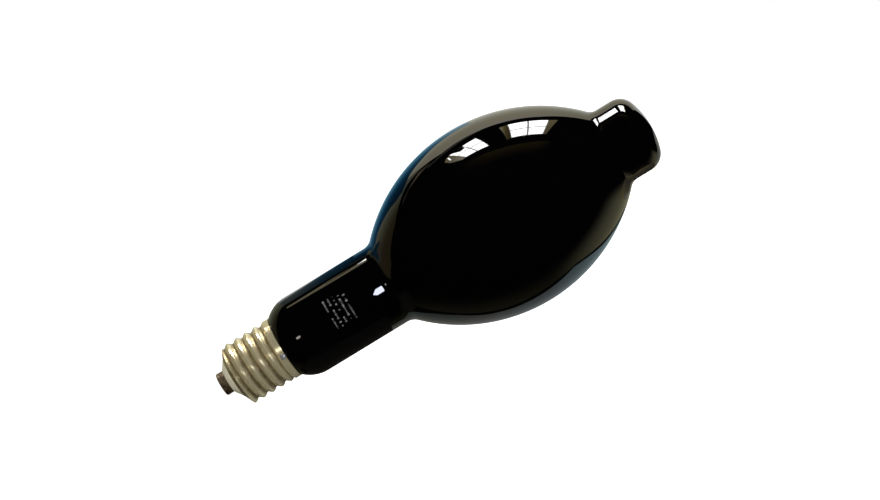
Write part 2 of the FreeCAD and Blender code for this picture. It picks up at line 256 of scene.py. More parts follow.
def blend_states(
    tree: bpy.types.NodeTree,
    shader: bpy.types.Node,
    share: bpy.types.NodeSocket,
    first: tuple[str, float],
    last: tuple[str, float],
) -> None:
    """Run a shader's colour and roughness from one state of the surface to another.

    Args:
        tree: The material's node tree.
        shader: Its shader.
        share: Where the surface is between the two states, from 0 to 1.
        first: The colour and the roughness at 0.
        last: The colour and the roughness at 1.
    """
    tone = add_node(
        tree,
        "ShaderNodeMix",
        {"Factor": share, 6: linear(first[0]), 7: linear(last[0])},
        data_type="RGBA",
    )
    rough = add_node(
        tree, "ShaderNodeMapRange", {"Value": share, "To Min": first[1], "To Max": last[1]}
    )
    tree.links.new(tone.outputs[2], shader.inputs["Base Color"])
    tree.links.new(rough.outputs["Result"], shader.inputs["Roughness"])


@dataclass(frozen=True)
class BlackGlass(Finish):
    """Blown glass, dyed through so that no visible light passes.

    It mirrors the room in a clear skin over black. Blowing leaves long shallow
    waves, and handling leaves faint films that soften the mirror.
    """

    wave_length: float = 38.0
    wave_height: float = 0.05
    film_size: float = 12.0
    film_roughness: float = 0.07

    def paint(self, tree: bpy.types.NodeTree, shader: bpy.types.Node) -> None:
        """Add the waves of the blowing and the films of handling.

        Args:
            tree: The material's node tree.
            shader: Its shader.
        """
        place = add_node(tree, "ShaderNodeTexCoord").outputs["Object"]
        film = add_node(
            tree,
            "ShaderNodeTexNoise",
            {"Vector": place, "Scale": 1 / (self.film_size * MM), "Detail": 5.0, "Roughness": 0.6},
        )
        rough = add_node(
            tree,
            "ShaderNodeMapRange",
            {
                "Value": film.outputs["Fac"],
                "From Min": 0.5,
                "From Max": 0.8,
                "To Min": self.roughness,
                "To Max": self.film_roughness,
            },
        )
        waves = add_node(
            tree,
            "ShaderNodeTexNoise",
            {"Vector": place, "Scale": 1 / (self.wave_length * MM), "Detail": 0.0},
        )
        bump = add_node(
            tree, "ShaderNodeBump", {"Height": waves.outputs["Fac"], "Distance": self.wave_height * MM}
        )
        tree.links.new(rough.outputs["Result"], shader.inputs["Roughness"])
        tree.links.new(bump.outputs["Normal"], shader.inputs["Normal"])


@dataclass(frozen=True)
class PlatedBrass(Finish):
    """Rolled brass sheet under a thin nickel plate.

    The crests stay bright and slightly warm. In the valleys the plate is thin and
    tarnished, so olive brown shows and the mirror dulls.
    """

    valley_colour: str = "66501A"
    valley_roughness: float = 0.45
    valley_radius: float = 18.0
    bright_radius: float = 19.3
    cloud_size: float = 4.0
    cloud_share: Point = (-0.25, 0.75)

    def paint(self, tree: bpy.types.NodeTree, shader: bpy.types.Node) -> None:
        """Blend from the tarnished valleys to the bright crests.

        Args:
            tree: The material's node tree.
            shader: Its shader.
        """
        place = add_node(tree, "ShaderNodeTexCoord").outputs["Object"]
        flat = add_node(tree, "ShaderNodeVectorMath", {0: place, 1: (1.0, 1.0, 0.0)}, operation="MULTIPLY")
        across = add_node(tree, "ShaderNodeVectorMath", {0: flat.outputs["Vector"]}, operation="LENGTH")
        cloud = add_node(
            tree,
            "ShaderNodeTexNoise",
            {"Vector": place, "Scale": 1 / (self.cloud_size * MM), "Detail": 6.0, "Roughness": 0.65},
        )
        rise = add_node(
            tree,
            "ShaderNodeMapRange",
            {
                "Value": across.outputs["Value"],
                "From Min": self.valley_radius * MM,
                "From Max": self.bright_radius * MM,
                "To Min": self.cloud_share[0],
                "To Max": self.cloud_share[1],
            },
        )
        clean = add_node(
            tree,
            "ShaderNodeMath",
            {0: rise.outputs["Result"], 1: cloud.outputs["Fac"]},
            operation="ADD",
            use_clamp=True,
        )
        valley, crest = (self.valley_colour, self.valley_roughness), (self.colour, self.roughness)
        blend_states(tree, shader, clean.outputs["Value"], valley, crest)


@dataclass(frozen=True)
class Mottled(Finish):
    """A surface whose colour and roughness wander between two states, with a fine grain."""

    second_colour: str = "808080"
    second_roughness: float = 0.5
    patch_size: float = 3.0
    grain_size: float = 0.4
    grain_height: float = 0.02
    coat: float = 0.0

    def paint(self, tree: bpy.types.NodeTree, shader: bpy.types.Node) -> None:
        """Add the patches of colour and the grain.

        Args:
            tree: The material's node tree.
            shader: Its shader.
        """
        place = add_node(tree, "ShaderNodeTexCoord").outputs["Object"]
        patch = add_node(
            tree,
            "ShaderNodeTexNoise",
            {"Vector": place, "Scale": 1 / (self.patch_size * MM), "Detail": 5.0, "Roughness": 0.6},
        )
        share = add_node(
            tree,
            "ShaderNodeMapRange",
            {"Value": patch.outputs["Fac"], "From Min": 0.35, "From Max": 0.65},
        )
        grain = add_node(
            tree,
            "ShaderNodeTexNoise",
            {"Vector": place, "Scale": 1 / (self.grain_size * MM), "Detail": 3.0},
        )
        bump = add_node(
            tree, "ShaderNodeBump", {"Height": grain.outputs["Fac"], "Distance": self.grain_height * MM}
        )
        shader.inputs["Coat Weight"].default_value = self.coat
        first, second = (self.colour, self.roughness), (self.second_colour, self.second_roughness)
        blend_states(tree, shader, share.outputs["Result"], first, second)
        tree.links.new(bump.outputs["Normal"], shader.inputs["Normal"])


# Black glass reflects only in its skin, so the body is nearly pure black
BLACK_GLASS = BlackGlass("black_ultraviolet_pass_glass", "020203", 0.012)
# Nickel over brass gives a warm, slightly soft mirror
SHELL_PLATE = PlatedBrass("nickel_plated_brass", "E6D9B0", 0.22, 0.66)
# Pressed opaque glass is pale greenish cream, with a soft gloss
PALE_GLASS = Mottled(
    "pressed_insulator_glass",
    "E8E2CC",
    0.25,
    second_colour="DAD2B8",
    second_roughness=0.4,
    patch_size=5.0,
    grain_height=0.01,
    coat=0.3,
)
# Brass darkened by heat and handling is dark bronze with worn patches
DARK_BRASS = Mottled(
    "darkened_contact_brass",
    "86765A",
    0.38,
    0.6,
    second_colour="4A3420",
    patch_size=4.0,
    grain_height=0.03,
)
# Solder is dull grey with brighter places where it set last
DULL_SOLDER = Mottled(
    "soft_solder",
    "DADADC",
    0.2,
    0.7,
    second_colour="8A8886",
    second_roughness=0.4,
    patch_size=1.2,
    grain_size=0.5,
    grain_height=0.06,
)
# Drawn nickel wire is a plain satin grey
NICKEL_WIRE = Mottled(
    "drawn_nickel_wire", "B4B0A6", 0.3, 1.0, second_colour="8E8A80", second_roughness=0.45, patch_size=1.0
)
# Baked capping cement is matt and buff, with a sandy grain
CAPPING_CEMENT = Mottled(
    "baked_capping_cement",
    "B9A78C",
    0.9,
    second_colour="9C8A70",
    second_roughness=0.95,
    patch_size=2.0,
    grain_height=0.06,
)
# An acid stamp leaves the black glass matt and grey
ETCHED_GLASS = Mottled(
    "acid_etched_glass",
    "8C8C88",
    0.6,
    second_colour="2C2C2B",
    patch_size=1.6,
    grain_size=0.3,
    grain_height=0.01,
)


@dataclass(frozen=True)
class ScrewCap:
    """The cap's sizes in millimetres, which the glass, the insulator and the solder share."""

    height: float = 44.5
    crest_radius: float = 19.65
    thread_depth: float = 1.8
    pitch: float = 6.35
    first_crest: float = 12.3
    sheet: float = 0.45
    mouth_height: float = 9.0
    cone_width: float = 4.35
    cone_height: float = 2.1
    lip: float = 0.5
    collar_height: float = 3.7
    collar_slope: float = 1.6
    notch_width: float = 1.4
    notch_depth: float = 3.2
    solder_angle: float = 284.0
    seat_gap: float = 0.05

    @property
    def root_radius(self) -> float:
        """The shell's radius in the valleys of its thread."""
        return self.crest_radius - self.thread_depth

    @property
    def mouth_radius(self) -> float:
        """The radius of the hole in the shell's lower end."""
        return self.root_radius - self.cone_width

    @property
    def bore_radius(self) -> float:
        """The radius inside the valleys."""
        return self.root_radius - self.sheet

    @property
    def collar_bore(self) -> float:
        """The radius inside the collar."""
        return self.crest_radius - self.sheet


CAP = ScrewCap()


@dataclass
class Bulb:
    """The sealed bulb, turned from one outline of tangent arcs. Sizes are in millimetres."""

    nipple_radius: float = 23.8
    nipple_length: float = 26.5
    nipple_fillet: float = 7.0
    nipple_corner: float = 11.5
    dome_radius: float = 50.0
    belly_arc: float = 105.0
    neck_radius: float = 25.5
    neck_fillet: float = 9.0
    shoulder_arc: float = 22.0
    throat_fillet: float = 1.5
    seal_inset: float = 1.0
    seal_corner: float = 5.0
    tube_radius: float = 3.0
    tube_length: float = 8.0
    seal_height: float = 27.0
    segments: int = 256
    step: float = 1.5

    def outline(self) -> list[Point]:
        """The bulb's outline, as tangent arcs from the exhaust tip up to the top of the nipple.

        Returns:
            Its points as (distance from the axis, height).
        """
        low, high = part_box("glass_envelope")
        length, belly_radius = high.z / MM, (high.x - low.x) / 2 / MM
        belly_x = belly_radius - self.belly_arc
        belly_z = length - self.nipple_length - math.sqrt(
            self.belly_arc**2 - (self.nipple_radius - belly_x) ** 2
        )
        belly, dome = (belly_x, belly_z), (0.0, length - self.dome_radius)
        shoulder_x = self.neck_radius - self.shoulder_arc
        rim = CAP.collar_bore - CAP.seat_gap - shoulder_x
        shoulder = (shoulder_x, CAP.height + math.sqrt(self.shoulder_arc**2 - rim**2))
        seal = CAP.bore_radius - self.seal_inset

        throat = self.beside(shoulder, self.shoulder_arc, seal, self.throat_fillet, -1)
        neck = self.beside(belly, self.belly_arc, self.neck_radius, self.neck_fillet, -1)
        foot = self.beside(belly, self.belly_arc, self.nipple_radius, self.nipple_fillet, 1)
        corner = self.beside(dome, self.dome_radius, self.nipple_radius, -self.nipple_corner, 1)
        tip = (0.0, self.seal_height - self.tube_length + self.tube_radius)
        seal_centre = (seal - self.seal_corner, self.seal_height + self.seal_corner)
        arcs = [
            (tip, self.tube_radius, -90, 0, 15),
            ((self.tube_radius, self.seal_height), 0, 0, 0, 1),
            (seal_centre, self.seal_corner, -90, 0, 9),
            (throat, self.throat_fillet, 180, bearing(throat, shoulder), 8),
            (shoulder, self.shoulder_arc, bearing(shoulder, throat) - 360, 0, self.step),
            (neck, self.neck_fillet, 180, bearing(neck, belly), self.step * 2),
            (belly, self.belly_arc, bearing(belly, neck) - 360, bearing(belly, foot), self.step * 0.6),
            (foot, self.nipple_fillet, bearing(foot, belly), 180, self.step * 2),
            (corner, self.nipple_corner, 0, bearing(dome, corner), self.step * 2),
            (dome, self.dome_radius, bearing(dome, corner), 90, self.step),
        ]
        points: list[Point] = []
        for centre, radius, start, finish, step in arcs:
            for point in arc_points(centre, radius, start, finish, step):
                if not points or math.dist(points[-1], point) > 1e-4:
                    points.append(point)
        points[0], points[-1] = (0.0, points[0][1]), (0.0, points[-1][1])
        return points

    @staticmethod
    def beside(circle: Point, radius: float, tube: float, fillet: float, side: int) -> Point:
        """The centre of a rounding between a round form and a tube.

        Args:
            circle: The round form's centre.
            radius: Its radius.
            tube: The tube's radius.
            fillet: The rounding's radius, which is negative for an outer corner.
            side: 1 where the rounding lies above the round form's centre, and -1 below.

        Returns:
            The rounding's centre.
        """
        across = tube + fillet
        return across, circle[1] + side * math.sqrt((radius + fillet) ** 2 - (across - circle[0]) ** 2)

    def dress(self) -> None:
        """Turn the bulb and give it its black glass."""
        bulb = finish_mesh("bulb", lathe(self.outline(), self.segments, closed=False))
        settle(bulb, BLACK_GLASS.build(), Slot.GLASS, "glass_envelope")


def plain_mesh(name: str, tree: bpy.types.NodeTree, values: dict[str, object]) -> bpy.types.Object:
    """Run a geometry tree and keep its result as a plain mesh.

    Args:
        name: The new object's name.
        tree: The geometry tree.
        values: The value of each named input.

    Returns:
        An object at the origin that holds the tree's mesh and no modifier.
    """
    carrier = bpy.data.objects.new(f"{name}_carrier", bpy.data.meshes.new(f"{name}_carrier"))
    bpy.context.scene.collection.objects.link(carrier)
    modifier = carrier.modifiers.new(name, "NODES")
    modifier.node_group = tree
    for item in tree.interface.items_tree:
        if item.item_type == "SOCKET" and item.in_out == "INPUT" and item.name in values:
            modifier[item.identifier] = values[item.name]
    evaluated = carrier.evaluated_get(bpy.context.evaluated_depsgraph_get())
    mesh = bpy.data.meshes.new_from_object(evaluated)
    carrier.modifiers.remove(modifier)
    bpy.data.objects.remove(carrier)
    mesh.name = name
    piece = bpy.data.objects.new(name, mesh)
    bpy.context.scene.collection.objects.link(piece)
    return piece


def new_tree(name: str, inputs: dict[str, str]) -> tuple[bpy.types.NodeTree, Sockets]:
    """A geometry tree with named inputs.

    Args:
        name: The tree's name.
        inputs: Each input's name and the kind of its socket, such as "Float".

    Returns:
        The tree and the sockets of its inputs by name.
    """
    tree = bpy.data.node_groups.new(name, "GeometryNodeTree")
    for label, kind in inputs.items():
        tree.interface.new_socket(label, in_out="INPUT", socket_type=f"NodeSocket{kind}")
    tree.interface.new_socket("Geometry", in_out="OUTPUT", socket_type="NodeSocketGeometry")
    group = tree.nodes.new("NodeGroupInput")
    return tree, {label: group.outputs[label] for label in inputs}


def work_out(tree: bpy.types.NodeTree, known: Sockets, *steps: tuple) -> None:
    """Add steps of arithmetic, each of which may use the results of those before it.

    Args:
        tree: The tree that gets the steps.
        known: The sockets that the steps may use by name. Each step's result joins them.
        steps: Each result's name, its operation, and its values as names or numbers.
    """
    for name, operation, *values in steps:
        inputs = {at: known.get(value, value) for at, value in enumerate(values)}
        known[name] = add_node(tree, "ShaderNodeMath", inputs, operation=operation).outputs[0]


def read_place(tree: bpy.types.NodeTree, known: Sockets) -> None:
    """Add a point's own place to the known sockets, as x, y and z.

    Args:
        tree: The geometry tree.
        known: Its sockets by name.
    """
    place = add_node(tree, "GeometryNodeInputPosition").outputs[0]
    split = add_node(tree, "ShaderNodeSeparateXYZ", {"Vector": place})
    known.update(zip("xyz", split.outputs))


def lay_round(
    tree: bpy.types.NodeTree, known: Sockets, flat: bpy.types.NodeSocket
) -> bpy.types.NodeSocket:
    """Lay flat geometry round the axis.

    Args:
        tree: The geometry tree.
        known: Its sockets, with each point's turn, how far across from the axis it lies and its height.
        flat: The flat geometry.

    Returns:
        The geometry laid round.
    """
    work_out(
        tree,
        known,
        ("cosine", "COSINE", "turn"),
        ("sine", "SINE", "turn"),
        ("to the right", "MULTIPLY", "across", "cosine"),
        ("to the back", "MULTIPLY", "across", "sine"),
    )
    place = add_node(
        tree,
        "ShaderNodeCombineXYZ",
        {"X": known["to the right"], "Y": known["to the back"], "Z": known["height"]},
    )
    inputs = {"Geometry": flat, "Position": place.outputs["Vector"]}
    return add_node(tree, "GeometryNodeSetPosition", inputs).outputs[0]


def end_tree(tree: bpy.types.NodeTree, known: Sockets, shape: bpy.types.NodeSocket) -> None:
    """Make what the tree built real, give it its material and put it out.

    Args:
        tree: The geometry tree.
        known: Its sockets by name.
        shape: What it built.
    """
    real = add_node(tree, "GeometryNodeRealizeInstances", {"Geometry": shape})
    inputs = {"Geometry": real.outputs[0], "Material": known["Material"]}
    painted = add_node(tree, "GeometryNodeSetMaterial", inputs)
    add_node(tree, "NodeGroupOutput", {"Geometry": painted.outputs[0]})


@dataclass
class Stamp:
    """The faint stamp etched on the neck: rows of plain bars that stand for no letters. In millimetres."""

    height: float = 87.0
    turn: float = 266.0
    rows: int = 5
    columns: int = 15
    row_step: float = 3.2
    column_step: float = 1.3
    bar_length: float = 1.1
    bar_height: float = 1.5
    thickness: float = 0.12
    smallest: Point = (0.3, 0.35)
    kept: float = 0.72
    seed: int = 5

    def tree(self) -> bpy.types.NodeTree:
        """The geometry tree: a grid of bars, some left out, bent round the neck.

        Returns:
            The tree.
        """
        lengths = ("Radius", "Turn", "Height", "Row Step", "Column Step", "Kept")
        inputs = dict.fromkeys(lengths, "Float") | dict.fromkeys(("Rows", "Columns", "Seed"), "Int")
        inputs |= {"Bar": "Vector", "Smallest": "Vector", "Material": "Material"}
        tree, known = new_tree("etched_bars", inputs)
        work_out(
            tree,
            known,
            ("columns less one", "SUBTRACT", "Columns", 1.0),
            ("width", "MULTIPLY", "columns less one", "Column Step"),
            ("rows less one", "SUBTRACT", "Rows", 1.0),
            ("depth", "MULTIPLY", "rows less one", "Row Step"),
            ("left out", "SUBTRACT", 1.0, "Kept"),
            ("next seed", "ADD", "Seed", 1.0),
        )
        grid = add_node(
            tree,
            "GeometryNodeMeshGrid",
            {
                "Size X": known["width"],
                "Size Y": known["depth"],
                "Vertices X": known["Columns"],
                "Vertices Y": known["Rows"],
            },
        )
        dropped = add_node(
            tree,
            "FunctionNodeRandomValue",
            {"Probability": known["left out"], "Seed": known["Seed"]},
            data_type="BOOLEAN",
        )
        spots = add_node(
            tree,
            "GeometryNodeDeleteGeometry",
            {"Geometry": grid.outputs["Mesh"], "Selection": dropped.outputs[3]},
            domain="POINT",
        )
        size = add_node(
            tree,
            "FunctionNodeRandomValue",
            {0: known["Smallest"], 1: (1.0, 1.0, 1.0), "Seed": known["next seed"]},
            data_type="FLOAT_VECTOR",
        )
        bar = add_node(tree, "GeometryNodeMeshCube", {"Size": known["Bar"], "Vertices X": 3})
        bars = add_node(
            tree,
            "GeometryNodeInstanceOnPoints",
            {"Points": spots.outputs[0], "Instance": bar.outputs["Mesh"], "Scale": size.outputs[0]},
        )
        real = add_node(tree, "GeometryNodeRealizeInstances", {"Geometry": bars.outputs[0]})
        read_place(tree, known)
        work_out(
            tree,
            known,
            ("bend", "DIVIDE", "x", "Radius"),
            ("turn", "ADD", "bend", "Turn"),
            ("across", "ADD", "z", "Radius"),
            ("height", "ADD", "y", "Height"),
        )
        end_tree(tree, known, lay_round(tree, known, real.outputs[0]))
        return tree

    def dress(self) -> None:
        """Lay the bars on the neck and etch them."""
        material = ETCHED_GLASS.build()
        values = {
            "Radius": Bulb.neck_radius * MM,
            "Turn": math.radians(self.turn),
            "Height": self.height * MM,
            "Row Step": self.row_step * MM,
            "Column Step": self.column_step * MM,
            "Kept": self.kept,
            "Rows": self.rows,
            "Columns": self.columns,
            "Seed": self.seed,
            "Bar": [self.bar_length * MM, self.bar_height * MM, self.thickness * MM],
            "Smallest": [*self.smallest, 1.0],
            "Material": material,
        }
        settle(plain_mesh("etched_stamp", self.tree(), values), material, Slot.GLASS)


@dataclass
class ScrewShell:
    """The pressed shell: one sheet, with a round thread rolled into it."""

    columns: int = 240
    rows: int = 150
    blend: float = 0.35

    def tree(self) -> bpy.types.NodeTree:
        """The geometry tree that rolls the thread and cuts the notch.

        A grid runs up the outside of the sheet, over the rim and down the inside.
        Its first direction is the turn about the axis. Each point's distance from
        the axis is the thread's wave, held inside the mouth's cone and outside the
        collar's slope.

        Returns:
            The tree.
        """
        lengths = (
            "Root", "Depth", "Pitch", "Crest", "Mouth", "Foot", "Cone Spread", "Lip", "Rim",
            "Collar Foot", "Collar Start", "Sheet", "Blend", "Notch Angle",
        )
        inputs = dict.fromkeys(lengths, "Float") | {"Columns": "Int", "Rows": "Int"}
        inputs |= {"Notch Size": "Vector", "Notch Place": "Vector", "Material": "Material"}
        tree, known = new_tree("rolled_screw_shell", inputs)
        read_place(tree, known)
        self.count_rows(tree, known)
        grid = add_node(
            tree,
            "GeometryNodeMeshGrid",
            {
                "Size X": 1.0,
                "Size Y": 1.0,
                "Vertices X": known["points round"],
                "Vertices Y": known["points up"],
            },
        )
        work_out(
            tree,
            known,
            ("foot", "MULTIPLY_ADD", "inside", "Lip", "Foot"),
            ("wall height", "SUBTRACT", "Rim", "foot"),
            ("height", "MULTIPLY_ADD", "climb", "wall height", "foot"),
            ("above the crest", "SUBTRACT", "height", "Crest"),
            ("pitches", "DIVIDE", "above the crest", "Pitch"),
            ("wound", "MULTIPLY", "pitches", math.tau),
            ("phase", "SUBTRACT", "wound", "turn"),
            ("swing", "COSINE", "phase"),
            ("wave", "MULTIPLY_ADD", "swing", 0.5, 0.5),
            ("thread", "MULTIPLY_ADD", "wave", "Depth", "Root"),
            ("crest", "ADD", "Root", "Depth"),
            ("collar's foot", "SUBTRACT", "Root", "Depth"),
        )
        collar = add_node(
            tree,
            "ShaderNodeMapRange",
            {
                "Value": known["height"],
                "From Min": known["Collar Foot"],
                "From Max": known["Collar Start"],
                "To Min": known["collar's foot"],
                "To Max": known["crest"],
            },
        )
        known["collar"] = collar.outputs["Result"]
        work_out(
            tree,
            known,
            ("rolled", "SMOOTH_MAX", "thread", "collar", "Blend"),
            ("outer wall", "MINIMUM", "rolled", "crest"),
            ("sheet", "MULTIPLY", "inside", "Sheet"),
            ("wall", "SUBTRACT", "outer wall", "sheet"),
            ("above the foot", "SUBTRACT", "height", "foot"),
            ("cone", "MULTIPLY_ADD", "above the foot", "Cone Spread", "Mouth"),
            ("across", "SMOOTH_MIN", "wall", "cone", "Blend"),
        )
        laid = lay_round(tree, known, grid.outputs["Mesh"])
        closed = add_node(tree, "GeometryNodeMergeByDistance", {"Geometry": laid, "Distance": 1e-6})
        end_tree(tree, known, self.notch(tree, known, closed.outputs[0]))
        return tree

    @staticmethod
    def count_rows(tree: bpy.types.NodeTree, known: Sockets) -> None:
        """Add each point's turn, how far up the wall it is, and whether it is inside.

        Args:
            tree: The geometry tree.
            known: Its sockets, with the point's place on the grid.
        """
        work_out(
            tree,
            known,
            ("points round", "ADD", "Columns", 1.0),
            ("points up", "MULTIPLY_ADD", "Rows", 2.0, 1.0),
            ("turned", "ADD", "x", 0.5),
            ("turn", "MULTIPLY", "turned", math.tau),
            ("both sides", "MULTIPLY", "Rows", 2.0),
            ("risen", "ADD", "y", 0.5),
            ("rows risen", "MULTIPLY", "risen", "both sides"),
            ("whole rows", "ROUND", "rows risen"),
            ("row", "MODULO", "whole rows", "both sides"),
            ("last", "SUBTRACT", "Rows", 1.0),
            ("half a row on", "ADD", "last", 0.5),
            ("inside", "GREATER_THAN", "row", "half a row on"),
            ("last inside", "SUBTRACT", "both sides", 1.0),
            ("row inside", "SUBTRACT", "last inside", "row"),
            ("rows up", "MINIMUM", "row", "row inside"),
            ("climb", "DIVIDE", "rows up", "last"),
        )

    @staticmethod
    def notch(
        tree: bpy.types.NodeTree, known: Sockets, shell: bpy.types.NodeSocket
    ) -> bpy.types.NodeSocket:
        """Cut the notch for the lead in the collar's rim.

        Args:
            tree: The geometry tree.
            known: Its sockets by name.
            shell: The closed shell.

        Returns:
            The notched shell.
        """
        block = add_node(tree, "GeometryNodeMeshCube", {"Size": known["Notch Size"]})
        inputs = {"Geometry": block.outputs["Mesh"], "Translation": known["Notch Place"]}
        shifted = add_node(tree, "GeometryNodeTransform", inputs)
        angle = add_node(tree, "ShaderNodeCombineXYZ", {"Z": known["Notch Angle"]})
        inputs = {"Geometry": shifted.outputs[0], "Rotation": angle.outputs[0]}
        spun = add_node(tree, "GeometryNodeTransform", inputs)
        inputs = {"Mesh 1": shell, "Mesh 2": spun.outputs[0]}
        return add_node(tree, "GeometryNodeMeshBoolean", inputs, operation="DIFFERENCE").outputs["Mesh"]

    def dress(self) -> None:
        """Roll the shell and give it its plate."""
        material = SHELL_PLATE.build()
        foot = CAP.height - CAP.collar_height - CAP.collar_slope
        values = {
            "Columns": self.columns,
            "Rows": self.rows,
            "Root": CAP.root_radius * MM,
            "Depth": CAP.thread_depth * MM,
            "Pitch": CAP.pitch * MM,
            "Crest": CAP.first_crest * MM,
            "Mouth": CAP.mouth_radius * MM,
            "Foot": CAP.mouth_height * MM,
            "Cone Spread": CAP.cone_width / CAP.cone_height,
            "Lip": CAP.lip * MM,
            "Rim": CAP.height * MM,
            "Collar Foot": (foot - CAP.collar_slope) * MM,
            "Collar Start": (CAP.height - CAP.collar_height) * MM,
            "Sheet": CAP.sheet * MM,
            "Blend": self.blend * MM,
            "Notch Angle": math.radians(CAP.solder_angle),
            "Notch Size": [2 * CAP.pitch * MM, CAP.notch_width * MM, 2 * CAP.notch_depth * MM],
            "Notch Place": [CAP.crest_radius * MM, 0.0, CAP.height * MM],
            "Material": material,
        }
        rolled = plain_mesh("rolled_shell", self.tree(), values)
        shape = bmesh.new()
        shape.from_mesh(rolled.data)
        bpy.data.objects.remove(rolled)
        settle(finish_mesh("screw_cap_shell", shape, 35.0), material, Slot.SHELL, "screw_shell")


@dataclass
class CapEnd:
    """The insulator, the contact button and its solder, all turned about the axis. In millimetres."""

    foot_radius: float = 7.9
    hole_radius: float = 2.4
    insulator_top: float = 14.5
    contact_radius: float = 7.2
    contact_height: float = 5.0
    contact_edge: float = 0.9
    shank_radius: float = 2.3
    shank_bore: float = 1.2
    shank_rise: float = 0.8
    dish_radius: float = 3.2
    dish_depth: float = 1.6
    solder_recess: float = 0.15
    solder_top: float = 3.0
    crown_rise: float = 0.8
    crown_points: int = 8
    segments: int = 128

    def insulator(self) -> list[Point]:
        """The insulator's outline, seated in the shell's mouth.

        Returns:
            Its points as (distance from the axis, height).
        """
        slope = CAP.cone_height / CAP.cone_width
        lip, wall = CAP.mouth_radius - CAP.seat_gap, CAP.bore_radius - CAP.seat_gap
        seat = CAP.mouth_height + CAP.lip + CAP.seat_gap
        return rounded([
            (self.hole_radius, self.contact_height, 0.0),
            (self.foot_radius, self.contact_height, 0.6),
            (lip, CAP.mouth_height, 0.25),
            (lip, seat, 0.1),
            (wall, seat + (wall - lip) * slope, 0.5),
            (wall, self.insulator_top, 0.5),
            (self.hole_radius, self.insulator_top, 0.3),
        ])

    def contact(self) -> list[Point]:
        """The contact's outline, with its dish and its hollow shank.

        Returns:
            Its points as (distance from the axis, height).
        """
        top = self.insulator_top + self.shank_rise
        return rounded([
            (self.dish_radius, 0.0, 0.15),
            (self.contact_radius, 0.0, self.contact_edge),
            (self.contact_radius, self.contact_height, 0.15),
            (self.shank_radius, self.contact_height, 0.0),
            (self.shank_radius, top, 0.2),
            (self.shank_bore, top, 0.2),
            (self.shank_bore, self.dish_depth, 0.1),
        ])

    def solder(self) -> list[Point]:
        """The outline of the solder in the dish, which rises a little towards its middle.

        Returns:
            Its points as (distance from the axis, height).
        """
        edge = CAP.seat_gap + self.solder_recess * (self.dish_radius - self.shank_bore) / self.dish_depth
        rim = self.dish_radius - edge
        angles = [math.pi / 2 * at / self.crown_points for at in range(self.crown_points + 1)]
        crown = [
            (rim * math.sin(angle), self.solder_recess * (1 - self.crown_rise * math.cos(angle)))
            for angle in angles
        ]
        plug = self.shank_bore - CAP.seat_gap
        return [*crown, (plug, self.dish_depth), (plug, self.solder_top), (0.0, self.solder_top)]

    def dress(self) -> None:
        """Make the three turned pieces and dress them."""
        insulator = lathe(self.insulator(), self.segments, closed=True)
        contact = lathe(self.contact(), self.segments, closed=True)
        solder = lathe(self.solder(), self.segments // 2, closed=False)
        for name, shape, finish, slot, node in (
            ("cap_insulator_glass", insulator, PALE_GLASS, Slot.INSULATOR, "cap_insulator"),
            ("contact_button", contact, DARK_BRASS, Slot.CONTACT, "centre_contact"),
            ("dish_solder", solder, DULL_SOLDER, Slot.SOLDER, "contact_solder"),
        ):
            settle(finish_mesh(name, shape), finish.build(), slot, node)


@dataclass
class RimSolder:
    """The uneven blob of solder over the shell's notch. Sizes are in millimetres."""

    drop: float = 1.6
    half_width: float = 1.85
    rise: float = 1.05
    unevenness: float = 0.16
    rings: int = 14
    spokes: int = 40

    def make(self) -> bpy.types.Object:
        """Drape the blob over the collar.

        Returns:
            The finished blob.
        """
        shape = bmesh.new()
        middle, back = CAP.height - self.drop, CAP.crest_radius + CAP.seat_gap
        face = [(ring / self.rings, 1) for ring in range(self.rings + 1)]
        rear = [(1 - ring / self.rings, 0) for ring in range(1, self.rings + 1)]
        layers = [self.ring(shape, share, side, middle, back) for share, side in face + rear]
        for inner, outer in zip(layers, layers[1:]):
            for at in range(self.spokes):
                beside = (at + 1) % self.spokes
                corners = [inner[at], inner[beside], outer[beside], outer[at]]
                shape.faces.new(list(dict.fromkeys(corners)))
        return finish_mesh("rim_solder_blob", shape, 60.0)

    def ring(
        self, shape: bmesh.types.BMesh, share: float, side: int, middle: float, back: float
    ) -> list[bmesh.types.BMVert]:
        """One ring of the blob's points.

        Args:
            shape: The mesh that gets the points.
            share: The ring's size as a share of the blob's outline.
            side: 1 on the blob's face, and 0 on its back.
            middle: The height of the blob's middle.
            back: The distance of its back from the lamp's axis.

        Returns:
            The ring's points, or the same point over again at the middle.
        """
        spots = []
        for at in range(self.spokes if share > 0 else 1):
            turn = math.tau * at / self.spokes
            lobe = 1 + self.unevenness * noise.noise(Vector((math.cos(turn), math.sin(turn), 0.7)) * 1.3)
            sideways = share * lobe * self.half_width * math.cos(turn)
            upward = share * lobe * self.half_width * math.sin(turn)
            swell = self.rise * math.sqrt(max(0.0, 1 - share**2)) * side
            swell *= 1 + self.unevenness * noise.noise(Vector((sideways, upward, 3.1)))
            angle = math.radians(CAP.solder_angle) + sideways / back
            place = Vector((math.cos(angle), math.sin(angle), 0)) * (back + swell)
            place.z = middle + upward
            spots.append(shape.verts.new(place * MM))
        return spots if share > 0 else spots * self.spokes

    def dress(self) -> None:
        """Make the blob and give it the look of solder."""
        settle(self.make(), DULL_SOLDER.build(), Slot.SOLDER, "rim_solder")


class HiddenParts:
    """The leads and the cement inside the cap, which keep the construction's own shapes."""

    finishes = {
        "side_lead_wire": NICKEL_WIRE,
        "centre_lead_wire": NICKEL_WIRE,
        "capping_cement": CAPPING_CEMENT,
    }

    def dress(self) -> None:
        """Give each of them its material."""
        built = {}
        for node, finish in self.finishes.items():
            if finish.name not in built:
                built[finish.name] = finish.build()
            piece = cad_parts[node]
            piece.data.materials.clear()
            piece.data.materials.append(built[finish.name])
            LOG.info("%s: %s", node, finish.name)


